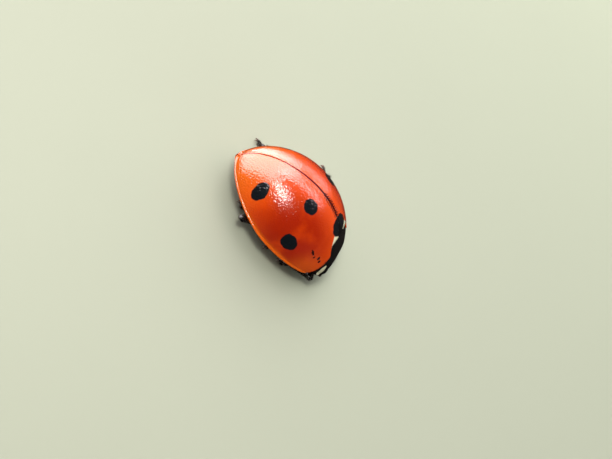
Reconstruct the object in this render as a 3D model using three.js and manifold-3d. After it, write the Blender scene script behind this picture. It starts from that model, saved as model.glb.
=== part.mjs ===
// A seven-spot ladybird, life size, standing with its legs drawn in and one middle leg stretched out.
//
// Units are millimetres. The head points to -Y, the insect's left side is +X and the floor is z = 0.
// Inside the body functions y is 0 at the base of the wing cases and grows towards their tip.
// The finished group is moved so that the middle of its bounding box stands over the origin.

import * as THREE from "three";
import { mergeVertices } from "three/addons/utils/BufferGeometryUtils.js";
import Module from "manifold-3d";

const wasm = await Module();
wasm.setup();

// ---------------------------------------------------------------- driving dimensions

const GAP = 0.03; // clearance between neighbouring plates
const RIM_Z = 0.95; // height of the wing cases' lower edge above the floor

const DOME = {
  length: 5.6, // base of the wing cases to their tip
  halfWidth: 2.6,
  height: 2.35, // above the rim
  baseHeight: 1.536, // above the rim, where the wing cases meet the pronotum
  widest: 2.28, // distance of the widest section behind the base
  highest: 2.24,
  frontReach: 1.226, // how far the outline would run on past the base
  frontPower: 2.32,
  rearPower: 1.684,
  sectionPower: 1.944,
};
const SHELL = { centreY: 2.5, keepX: 0.83, keepY: 0.86, keepZ: 0.81 }; // inner wall of the wing cases
const SHOULDER = {
  base: 0.12, // the wing cases' front edge beside the scutellum, ahead of y = 0
  step: 0.37, // how much farther forward the shoulders reach
  from: 0.42, // where the step starts and ends, as shares of the half width
  to: 0.62,
  roundFrom: 0.66,
  roundOff: 0.42, // how far the outermost corner is rounded back
  halfWidth: 1.95,
};
const SCUTELLUM = { halfWidth: 0.3, length: 0.45, thickness: 0.42 };
const PRONOTUM = {
  hindHalfWidth: 1.72,
  frontHalfWidth: 1.05,
  frontY: -0.945,
  cornerReach: 0.05,
  hindCornerY: -0.43,
  sidePower: 2.3, // how late the sides draw in towards the front
  rimZ: 0.06, // above the wing cases' rim
  droop: 0.26, // how fast it falls below the wing cases' line, per millimetre forwards
  hindSectionPower: 2.3,
  frontSectionPower: 2.05,
  thickness: 0.4,
};
const BELLY = { depth: 0.46, centreY: 1.3, reach: 3.9, lowerPower: 2.6 };
const HEAD = { y: -0.69, z: -0.2, halfWidth: 0.78, halfLength: 0.52, halfHeight: 0.56 };
const EYE = { x: 0.64, y: -0.83, z: -0.07, rx: 0.24, ry: 0.28, rz: 0.34 };

// Where the trunk is parted, from front to back.
const TRUNK_CUTS = [
  ["mesothorax", 0.0, 0.62],
  ["metathorax", 0.62, 2.2],
  ["abdomen_segment_1", 2.2, 3.05],
  ["abdomen_segment_2", 3.05, 3.65],
  ["abdomen_segment_3", 3.65, 4.2],
  ["abdomen_segment_4", 4.2, 4.65],
  ["abdomen_segment_5", 4.65, 5.06],
];

// Joint points of each leg: hip on the underside, knee, ankle and the end of the foot.
const LEGS = {
  right_fore: {
    hip: [-0.42, -0.24, 0.45],
    knee: [-1.72, -0.66, 0.6],
    ankle: [-1.62, 0.35, 0.24],
    toe: [-1.85, 0.9, 0.16],
  },
  right_middle: {
    hip: [-0.6, 0.9, 0.45],
    knee: [-2.05, 0.75, 0.66],
    ankle: [-1.35, 1.5, 0.24],
    toe: [-1.9, 1.85, 0.16],
  },
  right_hind: {
    hip: [-0.95, 2.4, 0.46],
    knee: [-2.33, 3.8, 0.68],
    ankle: [-1.15, 3.35, 0.24],
    toe: [-1.08, 4.0, 0.16],
  },
  left_fore: {
    hip: [0.42, -0.24, 0.45],
    knee: [1.72, -0.05, 0.62],
    ankle: [1.75, -0.98, 0.24],
    toe: [1.35, -1.36, 0.16],
  },
  left_middle: {
    hip: [0.6, 0.9, 0.45],
    knee: [2.2, 0.98, 0.62],
    ankle: [3.55, 1.2, 0.98],
    toe: [3.9, 1.62, 0.86],
  },
  left_hind: {
    hip: [0.95, 2.4, 0.46],
    knee: [2.62, 3.05, 0.64],
    ankle: [2.65, 4.26, 0.24],
    toe: [2.63, 4.82, 0.16],
  },
};
const COXA = { rx: 0.34, ry: 0.27, rz: 0.22 };
const FEMUR_RADIUS = 0.25;
const TIBIA_RADIUS = 0.2;
const FOOT_RADIUS = 0.19;

const COLOURS = {
  wingCase: { color: 0xc93a08, roughness: 0.22, metalness: 0 },
  black: { color: 0x0b0b0c, roughness: 0.3, metalness: 0 },
  underside: { color: 0x151210, roughness: 0.5, metalness: 0 },
  eye: { color: 0x070708, roughness: 0.12, metalness: 0 },
  feeler: { color: 0x2a1a10, roughness: 0.45, metalness: 0 },
};

// ---------------------------------------------------------------- small helpers

const clamp01 = (t) => Math.min(1, Math.max(0, t));
const smooth = (from, to, t) => {
  const s = clamp01((t - from) / (to - from));
  return s * s * (3 - 2 * s);
};
const lerp = (a, b, t) => a + (b - a) * t;
const power = (value, exponent) => Math.sign(value) * Math.abs(value) ** exponent;

// Moves every vertex of a geometry through a function that changes the vector it is given.
function bend(geometry, move) {
  const position = geometry.getAttribute("position");
  const point = new THREE.Vector3();
  for (let i = 0; i < position.count; i++) {
    point.fromBufferAttribute(position, i);
    move(point);
    position.setXYZ(i, point.x, point.y, point.z);
  }
  return geometry;
}

const manifoldOf = (points, triangles) =>
  new wasm.Manifold(
    new wasm.Mesh({ numProp: 3, vertProperties: points, triVerts: new Uint32Array(triangles) }),
  );

// Merges a geometry's vertices, drops the faces that shrank to a line, and makes it a solid that faces out.
function solidOf(geometry) {
  const bare = geometry.index ? geometry.toNonIndexed() : geometry.clone();
  bare.deleteAttribute("normal");
  bare.deleteAttribute("uv");
  const merged = mergeVertices(bare, 1e-4);
  const points = merged.attributes.position.array;
  const index = merged.index.array;
  const outwards = [];
  const inwards = [];
  for (let i = 0; i < index.length; i += 3) {
    const [a, b, c] = [index[i], index[i + 1], index[i + 2]];
    if (a === b || b === c || c === a) continue;
    outwards.push(a, b, c);
    inwards.push(a, c, b);
  }
  const made = manifoldOf(points, outwards);
  return made.volume() > 0 ? made : manifoldOf(points, inwards);
}

function geometryOf(solid) {
  const mesh = solid.getMesh();
  const points = new Float32Array(mesh.numVert * 3);
  for (let i = 0; i < mesh.numVert; i++)
    points.set(mesh.vertProperties.subarray(i * mesh.numProp, i * mesh.numProp + 3), i * 3);
  const geometry = new THREE.BufferGeometry();
  geometry.setAttribute("position", new THREE.BufferAttribute(points, 3));
  geometry.setIndex(new THREE.BufferAttribute(mesh.triVerts, 1));
  geometry.computeVertexNormals();
  return geometry;
}

// ---------------------------------------------------------------- the dome that the wing cases follow

function domeHalfWidth(y) {
  const { halfWidth, widest, length, frontReach, frontPower, rearPower } = DOME;
  const ahead = y < widest;
  const share = ahead ? (widest - y) / (widest + frontReach) : (y - widest) / (length - widest);
  const exponent = ahead ? frontPower : rearPower;
  return halfWidth * (1 - clamp01(share) ** exponent) ** (1 / exponent);
}

function domeHeight(y) {
  const { height, baseHeight, highest, length } = DOME;
  if (y < highest) return height - (height - baseHeight) * ((highest - y) / highest) ** 2;
  return height * (1 - clamp01((y - highest) / (length - highest)) ** 2.1) ** (1 / 1.9);
}

// Front edge of the wing cases: it steps forward at the shoulders, on both sides of the pronotum.
function baseLine(share) {
  const { base, step, from, to, roundFrom, roundOff } = SHOULDER;
  const turn = clamp01((share - roundFrom) / (1 - roundFrom));
  return -(base + step * smooth(from, to, share)) + roundOff * (1 - (1 - turn ** 4) ** (1 / 4));
}

// Half the width of the notch that the scutellum fills between the wing cases.
const notch = (y) => SCUTELLUM.halfWidth * clamp01(1 - (y + SHOULDER.base) / SCUTELLUM.length);

// One wing case: a plate whose box runs base to tip, suture to rim and outer to inner wall.
function wingCase(side) {
  const plate = new THREE.BoxGeometry(1, 1, 1, 20, 11, 1).translate(0.5, 0.5, 0.5);
  const notchAngle = Math.asin(SCUTELLUM.halfWidth / SHOULDER.halfWidth);
  return bend(plate, (p) => {
    const [along, across, inner] = [p.x, p.y, p.z];
    const { length, sectionPower } = DOME;
    const share = power(Math.sin(lerp(notchAngle, Math.PI / 2, across)), 2 / sectionPower);
    const start = baseLine(share);
    const y = start + (length - start) * Math.sin((along * Math.PI) / 2);
    const halfWidth = domeHalfWidth(y);
    const from = halfWidth > 0 ? Math.asin(clamp01((notch(y) + (y < 0.4 ? GAP : 0)) / halfWidth)) : 0;
    const angle = lerp(from, Math.PI / 2, across);
    const x = halfWidth * power(Math.sin(angle), 2 / sectionPower);
    const z = domeHeight(y) * power(Math.max(0, Math.cos(angle)), 2 / sectionPower);
    const keep = inner > 0.5 ? SHELL : { keepX: 1, keepY: 1, keepZ: 1 };
    p.set(
      side * (x * keep.keepX + GAP / 2),
      SHELL.centreY + (y - SHELL.centreY) * keep.keepY,
      RIM_Z + z * keep.keepZ,
    );
  });
}

// The small black triangle between the bases of the wing cases.
function scutellum() {
  const block = new THREE.BoxGeometry(1, 1, 1, 6, 4, 1).translate(0, 0.5, 0.5);
  return bend(block, (p) => {
    const y = lerp(-SHOULDER.base, SCUTELLUM.length - 0.12, p.y);
    const x = 2 * p.x * (notch(y) - GAP * 0.5);
    const top = RIM_Z + domeHeight(y) * (1 - (Math.abs(x) / domeHalfWidth(y)) ** 2) ** 0.5;
    p.set(x, y, top - SCUTELLUM.thickness * (1 - p.z));
  });
}

// ---------------------------------------------------------------- pronotum, the shield behind the head

// Hind edge of the pronotum: it fits the wing cases up to their shoulders and then runs out to its corners.
function hindLine(across) {
  const { hindHalfWidth, hindCornerY } = PRONOTUM;
  const { base, step, from, to, halfWidth } = SHOULDER;
  const fitted = base + step * smooth(from, to, (across * hindHalfWidth) / halfWidth);
  return Math.max(-fitted, hindCornerY - 0.06);
}

function pronotumHeight(y) {
  return domeHeight(y) * (1 + PRONOTUM.droop * y);
}

function pronotum(grow = 0) {
  const plate = new THREE.BoxGeometry(1, 1, 1, 20, 5, 1).translate(0, 0.5, 0.5);
  return bend(plate, (p) => {
    const { hindHalfWidth, frontHalfWidth, frontY, cornerReach, hindCornerY } = PRONOTUM;
    const { sidePower, rimZ, hindSectionPower, frontSectionPower, thickness } = PRONOTUM;
    const sectionPower = lerp(hindSectionPower, frontSectionPower, p.y);
    const angle = p.x * Math.PI;
    const across = power(Math.sin(angle), 2 / sectionPower);
    const hind = hindLine(Math.abs(across)) - GAP;
    const front = frontY - cornerReach * smooth(0.4, 0.9, Math.abs(across));
    const y = lerp(hind + grow, front - grow, p.y);
    const narrowing = clamp01((hindCornerY - y) / (hindCornerY - frontY + cornerReach));
    const x = across * lerp(hindHalfWidth, frontHalfWidth, narrowing ** sidePower);
    const drop = power(Math.max(0, Math.cos(angle)), 2 / sectionPower);
    const z = rimZ + (pronotumHeight(y) - rimZ) * drop;
    const shrink = p.z > 0.5 ? 1 + grow : 1 - (thickness + grow) / hindHalfWidth;
    const sink = p.z > 0.5 ? grow : -(thickness + grow) * drop;
    p.set(x * shrink, y, RIM_Z + z + sink);
  });
}

// ---------------------------------------------------------------- trunk

// A closed length of trunk between two sections. Its upper half follows the wall above it.
function trunkLength(front, back, halfWidth, height) {
  const drum = new THREE.CylinderGeometry(1, 1, 1, 24, Math.max(1, Math.round((back - front) / 0.5)));
  return bend(drum, (p) => {
    const y = lerp(front, back, p.y + 0.5);
    const below = p.z < 0;
    const depth = BELLY.depth * Math.sqrt(1 - ((y - BELLY.centreY) / BELLY.reach) ** 2);
    const reach = below ? depth : height(y);
    const exponent = below ? 2 / BELLY.lowerPower : 2 / DOME.sectionPower;
    p.set(halfWidth(y) * power(p.x, exponent), y, RIM_Z + reach * power(p.z, exponent));
  });
}

const innerY = (y) => SHELL.centreY + (y - SHELL.centreY) / SHELL.keepY;
const trunkHalfWidth = (y) => domeHalfWidth(innerY(y)) * SHELL.keepX - GAP;
const trunkHeight = (y) => domeHeight(innerY(y)) * SHELL.keepZ - GAP;

// The underside of the first ring, which lies in the pronotum's arch.
const prothoraxHalfWidth = (y) => lerp(1.2, 0.8, smooth(-0.1, -0.8, y));
const prothoraxHeight = (y) => pronotumHeight(y) * 0.5 - 0.02;

// ---------------------------------------------------------------- head

function head(grow = 0) {
  const ball = new THREE.SphereGeometry(1, 16, 10);
  return bend(ball, (p) => {
    const narrowing = 1 - 0.22 * smooth(0.1, -1, p.z); // the face narrows towards the mouth
    p.set(
      p.x * (HEAD.halfWidth * narrowing + grow),
      HEAD.y + p.y * (HEAD.halfLength + grow),
      RIM_Z + HEAD.z + p.z * (HEAD.halfHeight + grow),
    );
  });
}

function eye(side, grow = 0) {
  return new THREE.SphereGeometry(1, 12, 8)
    .scale(EYE.rx + grow, EYE.ry + grow, EYE.rz + grow)
    .translate(side * EYE.x, EYE.y, RIM_Z + EYE.z);
}

// ---------------------------------------------------------------- limbs

// A turned spindle between two points: radii are given as [share of the length, radius] pairs.
function spindle(from, to, radii, sides = 8) {
  const a = new THREE.Vector3(...from);
  const b = new THREE.Vector3(...to);
  const length = a.distanceTo(b);
  const profile = radii.map(([share, radius]) => new THREE.Vector2(radius, share * length));
  const turned = new THREE.LatheGeometry(
    [new THREE.Vector2(0, profile[0].y), ...profile, new THREE.Vector2(0, profile.at(-1).y)],
    sides,
  );
  const along = b.clone().sub(a).normalize();
  turned.applyQuaternion(new THREE.Quaternion().setFromUnitVectors(new THREE.Vector3(0, 1, 0), along));
  return turned.translate(a.x, a.y, a.z);
}

// The same spindle with everything under the floor pressed flat onto it.
function footOn(floor, geometry) {
  return bend(geometry, (p) => {
    p.z = Math.max(p.z, floor);
  });
}

// The four solids of one leg. Each reaches into the one before it and is cut clear of it later.
function legSolids({ hip, knee, ankle, toe }, grow = 0) {
  const limb = (from, to, radii) =>
    spindle(from, to, radii.map(([share, radius]) => [share, radius + grow]));
  const coxa = new THREE.SphereGeometry(1, 10, 6)
    .scale(COXA.rx + grow, COXA.ry + grow, COXA.rz + grow)
    .translate(...hip);
  const femur = limb(hip, knee, [
    [0.02, 0.1],
    [0.12, 0.16],
    [0.55, FEMUR_RADIUS],
    [0.9, 0.21],
    [1.05, 0.14],
    [1.08, 0.05],
  ]);
  const tibia = limb(knee, ankle, [
    [0.02, 0.08],
    [0.1, 0.15],
    [0.6, TIBIA_RADIUS],
    [1, 0.18],
    [1.08, 0.08],
  ]);
  const foot = limb(ankle, toe, [
    [0.02, 0.1],
    [0.2, FOOT_RADIUS],
    [0.85, FOOT_RADIUS],
    [1, 0.1],
  ]);
  const raised = toe[2] > 0.4;
  return { coxa, femur, tibia, foot: raised ? foot : footOn(0, foot) };
}

// A short feeler with a club at its end, tucked down from the inner side of the eye.
function feeler(side) {
  return spindle([side * 0.44, -1.07, RIM_Z - 0.14], [side * 0.8, -1.12, RIM_Z - 0.68], [
    [0, 0.1],
    [0.1, 0.17],
    [0.55, 0.15],
    [0.8, 0.21],
    [0.95, 0.19],
    [1, 0.1],
  ]);
}

// The hatchet-shaped palp beside the mouth.
function palp(side) {
  return spindle([side * 0.26, -0.69, 0.3], [side * 0.4, -1.05, 0.22], [
    [0, 0.08],
    [0.2, 0.15],
    [0.8, 0.2],
    [1, 0.12],
  ]);
}

function upperLip(grow = 0) {
  return new THREE.SphereGeometry(1, 12, 6)
    .scale(0.3 + grow, 0.2 + grow, 0.24 + grow)
    .translate(0, -1.05, RIM_Z - 0.52);
}

// ---------------------------------------------------------------- assembly

const solids = new Map();
const finishes = new Map();
function keep(name, solid, finish) {
  solids.set(name, solid);
  finishes.set(name, finish);
}

const sides = { left: 1, right: -1 };
for (const [name, side] of Object.entries(sides)) {
  keep(`elytron_${name}`, solidOf(wingCase(side)), COLOURS.wingCase);
  keep(`eye_${name}`, solidOf(eye(side)), COLOURS.eye);
  keep(`antenna_${name}`, solidOf(feeler(side)), COLOURS.feeler);
  keep(`palp_${name}`, solidOf(palp(side)), COLOURS.feeler);
}
keep("scutellum", solidOf(scutellum()), COLOURS.black);
keep("pronotum", solidOf(pronotum()), COLOURS.black);
keep("head", solidOf(head()), COLOURS.black);
keep("labrum", solidOf(upperLip()), COLOURS.black);
keep("prothorax", solidOf(trunkLength(-0.7, -0.1, prothoraxHalfWidth, prothoraxHeight)), COLOURS.underside);
for (const [name, front, back] of TRUNK_CUTS)
  keep(
    name,
    solidOf(trunkLength(front + GAP / 2, back - GAP / 2, trunkHalfWidth, trunkHeight)),
    COLOURS.underside,
  );
for (const [name, leg] of Object.entries(LEGS))
  for (const [piece, geometry] of Object.entries(legSolids(leg)))
    keep(`${piece}_${name}`, solidOf(geometry), COLOURS.black);

// Cuts one piece clear of other shapes and keeps its largest remainder.
function cutClear(name, cutters) {
  let solid = solids.get(name);
  for (const cutter of cutters) solid = solid.subtract(cutter);
  solids.set(name, solid.decompose().sort((a, b) => b.volume() - a.volume())[0]);
}

const trunkNames = ["prothorax", ...TRUNK_CUTS.map(([name]) => name)];
const order = ["coxa", "femur", "tibia", "foot"];
for (const [name, leg] of Object.entries(LEGS)) {
  const grown = legSolids(leg, GAP);
  for (const trunkName of trunkNames)
    cutClear(trunkName, [solidOf(grown.coxa), solidOf(grown.femur)]);
  cutClear("head", [solidOf(grown.coxa)]);
  order.slice(1).forEach((piece, i) => cutClear(`${piece}_${name}`, [solidOf(grown[order[i]])]));
}

const eyes = [solidOf(eye(1, GAP)), solidOf(eye(-1, GAP))];
const headGrown = solidOf(head(GAP));
cutClear("head", [solidOf(pronotum(GAP)), ...eyes]);
cutClear("eye_left", [solidOf(pronotum(GAP))]);
cutClear("eye_right", [solidOf(pronotum(GAP))]);
cutClear("prothorax", [headGrown, ...eyes]);
for (const name of ["antenna_left", "antenna_right", "palp_left", "palp_right", "labrum"])
  cutClear(name, [headGrown, ...eyes]);
const lipGrown = solidOf(upperLip(GAP));
cutClear("palp_left", [lipGrown]);
cutClear("palp_right", [lipGrown]);

const ladybird = new THREE.Group();
for (const [name, solid] of solids) {
  const mesh = new THREE.Mesh(
    geometryOf(solid),
    new THREE.MeshStandardMaterial(finishes.get(name)),
  );
  mesh.name = name;
  ladybird.add(mesh);
}

const bounds = new THREE.Box3().setFromObject(ladybird);
const middle = bounds.getCenter(new THREE.Vector3());
ladybird.position.set(-middle.x, -middle.y, -bounds.min.z);

export default ladybird;
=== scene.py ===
import math
import random

import bmesh
import bpy
from bpy.props import FloatProperty, FloatVectorProperty, PointerProperty
from mathutils import Matrix, Vector, noise


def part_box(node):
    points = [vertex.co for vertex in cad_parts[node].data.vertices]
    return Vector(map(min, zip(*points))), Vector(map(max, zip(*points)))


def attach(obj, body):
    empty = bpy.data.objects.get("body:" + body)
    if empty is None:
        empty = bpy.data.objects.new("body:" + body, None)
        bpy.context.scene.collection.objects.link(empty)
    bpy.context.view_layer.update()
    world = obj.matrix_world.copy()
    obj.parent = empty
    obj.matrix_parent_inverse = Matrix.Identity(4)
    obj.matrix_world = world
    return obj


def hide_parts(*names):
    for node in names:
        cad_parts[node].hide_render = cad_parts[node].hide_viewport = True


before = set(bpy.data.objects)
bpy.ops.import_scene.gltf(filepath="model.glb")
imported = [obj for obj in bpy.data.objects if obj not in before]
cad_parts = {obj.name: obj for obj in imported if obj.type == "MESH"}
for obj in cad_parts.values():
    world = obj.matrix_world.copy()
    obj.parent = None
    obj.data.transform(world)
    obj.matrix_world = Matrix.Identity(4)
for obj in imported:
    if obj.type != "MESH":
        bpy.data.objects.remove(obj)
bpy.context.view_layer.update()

bl_info = {
    "name": "Ladybird",
    "version": (1, 0, 0),
    "blender": (4, 5, 0),
    "location": "View3D > Sidebar > Ladybird",
    "description": "Dresses a life-size seven-spot ladybird over its frame",
    "category": "Add Mesh",
}

# ---------------------------------------------------------------- sizes, in millimetres
#
# Body measures: x is across from the midline, y runs back from the base of the wing cases, z is
# above the floor. The head points to -y and the insect's left side is +x.

MM = 0.001
WING_LOW, WING_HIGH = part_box("elytron_left")
WING_LENGTH = 5.6
MIDLINE_X = (WING_LOW.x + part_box("elytron_right")[1].x) / 2
BASE_Y = WING_HIGH.y - WING_LENGTH * MM
RIM_Z = WING_LOW.z / MM
GAP = 0.03

# Front edge of a wing case: it steps forward between two shares of its half width, and its corner is round.
SHOULDER = {
    "base": 0.12,
    "step": 0.37,
    "from": 0.42,
    "to": 0.62,
    "round_from": 0.66,
    "round_off": 0.42,
    "half_width": 1.95,
}
SCUTELLUM = {"half_width": 0.3, "length": 0.45}
# The trunk is the dome of the wing cases drawn in about centre_y, to these shares of its size.
INNER = {"centre_y": 2.5, "x": 0.83, "y": 0.86, "z": 0.81}

# Joint points of each leg: hip on the underside, knee, ankle and the end of the foot.
LEGS = {
    "right_fore": ((-0.42, -0.24, 0.45), (-1.72, -0.66, 0.6), (-1.62, 0.35, 0.24), (-1.85, 0.9, 0.16)),
    "right_middle": ((-0.6, 0.9, 0.45), (-2.05, 0.75, 0.66), (-1.35, 1.5, 0.24), (-1.9, 1.85, 0.16)),
    "right_hind": ((-0.95, 2.4, 0.46), (-2.33, 3.8, 0.68), (-1.15, 3.35, 0.24), (-1.08, 4.0, 0.16)),
    "left_fore": ((0.42, -0.24, 0.45), (1.72, -0.05, 0.62), (1.75, -0.98, 0.24), (1.35, -1.36, 0.16)),
    "left_middle": ((0.6, 0.9, 0.45), (2.2, 0.98, 0.62), (3.55, 1.2, 0.98), (3.9, 1.62, 0.86)),
    "left_hind": ((0.95, 2.4, 0.46), (2.62, 3.05, 0.64), (2.65, 4.26, 0.24), (2.63, 4.82, 0.16)),
}
TOE_HEIGHT = 0.16  # of a standing foot's end over the floor

# Front and back of each length of the trunk.
TRUNK = {
    "prothorax": (-0.7, -0.1),
    "mesothorax": (0.0, 0.62),
    "metathorax": (0.62, 2.2),
    "abdomen_segment_1": (2.2, 3.05),
    "abdomen_segment_2": (3.05, 3.65),
    "abdomen_segment_3": (3.65, 4.2),
    "abdomen_segment_4": (4.2, 4.65),
    "abdomen_segment_5": (4.65, 5.06),
}

# Black spots of the wing cases, the shared one first: where the middle lies, and half widths in x, y, z.
SPOTS = [
    ((0.0, 0.28), (0.66, 0.41, 0.8)),
    ((-1.61, 4.18), (0.5, 0.31, 0.5)),
    ((-1.03, 2.12), (0.35, 0.37, 0.5)),
    ((-2.36, 1.64), (0.35, 0.4, 0.38)),
    ((1.62, 4.16), (0.5, 0.31, 0.5)),
    ((1.38, 1.9), (0.38, 0.37, 0.5)),
    ((2.37, 1.5), (0.35, 0.4, 0.38)),
]
# Small scratches on the right wing case: centre and half widths.
SCRATCHES = [
    ((-1.87, 0.44, RIM_Z + 1.06), (0.05, 0.16, 0.18)),
    ((-1.88, 0.22, RIM_Z + 0.91), (0.09, 0.05, 0.07)),
    ((-1.69, -0.01, RIM_Z + 0.90), (0.09, 0.06, 0.08)),
    ((-1.70, -0.16, RIM_Z + 0.78), (0.1, 0.06, 0.07)),
]

# Teeth along the suture, cut slantwise.
TOOTH = {"pitch": 0.11, "length": 0.13, "lean": 0.4}

# A hair: half widths at its root and at its bend, how deep it is set, how far it splays to a side,
# how much it still stands out past its bend, and the shares of the coat's length that it may have.
HAIR = {"root": 0.009, "bend": 0.006, "sunk": 0.01, "splay": 0.35, "stand": 0.35, "lengths": (0.6, 1.25)}
HAIR_SIDES = (0, 2.1, 4.2)  # the angles of its three edges
HAIR_PATCH = 0.003  # across, on the coat's map
PATCH_CORNERS = ((0, 0), (1, 0), (1, 1), (0, 1))


def to_frame(point):
    """A point in body measures, in the frame's metres."""
    return Vector((point[0] * MM + MIDLINE_X, point[1] * MM + BASE_Y, point[2] * MM))


# ---------------------------------------------------------------- numbers


def clamp01(value):
    return min(1.0, max(0.0, value))


def lerp(a, b, share):
    return a + (b - a) * share


def smooth(low, high, value):
    share = clamp01((value - low) / (high - low))
    return share * share * (3 - 2 * share)


def power(value, exponent):
    return math.copysign(abs(value) ** exponent, value)


def bell(value, middle, width):
    """1 at the middle, with a smooth fall to 0 on both sides."""
    return math.exp(-(((value - middle) / width) ** 2))


def curve(points, share):
    """The value at share on a smooth line through (share, value) pairs."""
    for (a, low), (b, high) in zip(points, points[1:]):
        if share <= b:
            return lerp(low, high, smooth(a, b, share))
    return points[-1][1]


def scaled(profile, size):
    """A profile whose half widths were given as shares of a size."""
    return [(share, width * size) for share, width in profile]


def linear(colour):
    """An sRGB hex colour as linear RGBA."""
    channels = [int(colour[i : i + 2], 16) / 255 for i in (1, 3, 5)]
    return [c / 12.92 if c < 0.04045 else ((c + 0.055) / 1.055) ** 2.4 for c in channels] + [1.0]


# ---------------------------------------------------------------- the user's sizes and colours


def colour_property(name, description, value):
    return FloatVectorProperty(
        name=name, description=description, subtype="COLOR", size=4, min=0, max=1, default=linear(value)
    )


class LadybirdSizes(bpy.types.PropertyGroup):
    """Sizes of the insect's shell and limbs"""

    length: FloatProperty(
        name="Wing case length",
        description="From the base of the wing cases to their tip",
        default=WING_LENGTH * MM,
        unit="LENGTH",
    )
    half_width: FloatProperty(
        name="Half width",
        description="From the midline to the widest part of the rim",
        default=WING_HIGH.x - MIDLINE_X - GAP / 2 * MM,
        unit="LENGTH",
    )
    height: FloatProperty(
        name="Height of the dome",
        description="From the rim to the top of the wing cases",
        default=WING_HIGH.z - WING_LOW.z,
        unit="LENGTH",
    )
    shell: FloatProperty(
        name="Shell thickness",
        description="Thickness of the wing cases and the pronotum",
        default=0.07 * MM,
        unit="LENGTH",
    )
    femur: FloatProperty(
        name="Thigh radius", description="Half width of a thigh", default=0.2 * MM, unit="LENGTH"
    )
    tibia: FloatProperty(
        name="Shin radius", description="Half width of a shin at its end", default=0.1 * MM, unit="LENGTH"
    )


class LadybirdColours(bpy.types.PropertyGroup):
    """Colours of the insect and of the floor under it"""

    wing_case: colour_property("Wing cases", "Orange-red of the wing cases", "#E64A04")
    # Painted shade: the darker red that the flanks of the wing cases are mixed towards.
    wing_painted_shade: colour_property("Wing cases, deep", "Darker red of the wing cases", "#A82202")
    # Painted light: the paler orange that the rim, tail and shoulders of the wing cases are mixed towards.
    wing_painted_light: colour_property("Wing cases, rim", "Lighter orange at the rim", "#F0680E")
    # Black with a bluish tint; the blue is a painted reflection.
    spot: colour_property("Spots", "Blue-black of the spots", "#0B1319")
    cream: colour_property("Pale marks", "Cream of the marks on shield, head and shoulders", "#E9E3C2")
    black: colour_property("Black shell", "Shell of the shield, head and legs", "#0C0C0D")
    under: colour_property("Underside", "Shell of the underside", "#12100F")
    down: colour_property("Hairs", "Fine pale hairs", "#8E8A7C")
    feeler: colour_property("Feelers", "Brown of the feelers", "#5A3417")
    floor: colour_property("Floor", "Studio floor", "#A6AB98")


# ---------------------------------------------------------------- the dome that the shell follows


class Dome:
    """Outline and height of the closed wing cases, and of the pronotum that carries them on."""

    base_height = 1.536
    widest = 2.28
    highest = 2.24
    front_reach = 1.226
    front_power = 2.32
    rear_power = 1.684
    section = 1.944
    tail_fall = 2.1
    tail_turn = 1.9
    shield_slope = 0.26
    neck_y = -0.05  # the trunk follows the pronotum ahead of it, and the wing cases behind
    neck_half_widths = (1.2, 0.8)

    def __init__(self, sizes):
        self.length = sizes.length / MM
        self.half = sizes.half_width / MM
        self.top = sizes.height / MM

    def half_width(self, y):
        if y < self.widest:
            share, exponent = (self.widest - y) / (self.widest + self.front_reach), self.front_power
        else:
            share, exponent = (y - self.widest) / (self.length - self.widest), self.rear_power
        return self.half * (1 - clamp01(share) ** exponent) ** (1 / exponent)

    def height(self, y):
        if y < self.highest:
            return self.top - (self.top - self.base_height) * ((self.highest - y) / self.highest) ** 2
        share = clamp01((y - self.highest) / (self.length - self.highest))
        return self.top * (1 - share**self.tail_fall) ** (1 / self.tail_turn)

    def surface(self, x, y):
        """Height over the rim at a place inside the outline."""
        half = self.half_width(y)
        if not half:
            return 0.0
        return self.height(y) * (1 - clamp01(abs(x) / half) ** self.section) ** (1 / self.section)

    def shield_height(self, y):
        return self.height(y) * (1 + self.shield_slope * y)

    def inner_y(self, y):
        return INNER["centre_y"] + (y - INNER["centre_y"]) / INNER["y"]

    def trunk_half_width(self, y):
        if y < self.neck_y:
            return lerp(*self.neck_half_widths, smooth(-0.1, -0.8, y))
        return self.half_width(self.inner_y(y)) * INNER["x"] - GAP

    def trunk_height(self, y):
        if y < self.neck_y:
            return self.shield_height(y) * 0.5 - 0.02
        return self.height(self.inner_y(y)) * INNER["z"] - GAP


def front_edge(share):
    """Front edge of the wing cases, which steps forward at the shoulders."""
    s = SHOULDER
    turn = clamp01((share - s["round_from"]) / (1 - s["round_from"]))
    rounding = s["round_off"] * (1 - (1 - turn**4) ** (1 / 4))
    return rounding - s["base"] - s["step"] * smooth(s["from"], s["to"], share)


def notch(y):
    """Half width of the notch that the scutellum fills."""
    return SCUTELLUM["half_width"] * clamp01(1 - (y + SHOULDER["base"]) / SCUTELLUM["length"])


# ---------------------------------------------------------------- making meshes


def sheet(columns, rows, place, outwards=True):
    """A grid laid over a surface: place turns its two shares into a point."""
    bm = bmesh.new()
    bmesh.ops.create_grid(bm, x_segments=columns, y_segments=rows, size=0.5)
    for vert in bm.verts:
        vert.co = place(vert.co.x + 0.5, vert.co.y + 0.5)
    if not outwards:
        bmesh.ops.reverse_faces(bm, faces=bm.faces)
    bmesh.ops.remove_doubles(bm, verts=bm.verts, dist=1e-4)
    return bm


def roll(columns, rows, place):
    """A grid rolled into a closed skin: place turns a share round it and one along it into a point."""
    bm = sheet(columns, rows, place)
    bmesh.ops.holes_fill(bm, edges=[edge for edge in bm.edges if edge.is_boundary])
    bmesh.ops.recalc_face_normals(bm, faces=bm.faces)
    return bm


def join(target, *others):
    """Adds other meshes to the first one."""
    for other in others:
        mesh = bpy.data.meshes.new("part")
        other.to_mesh(mesh)
        other.free()
        target.from_mesh(mesh)
        bpy.data.meshes.remove(mesh)
    return target


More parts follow.
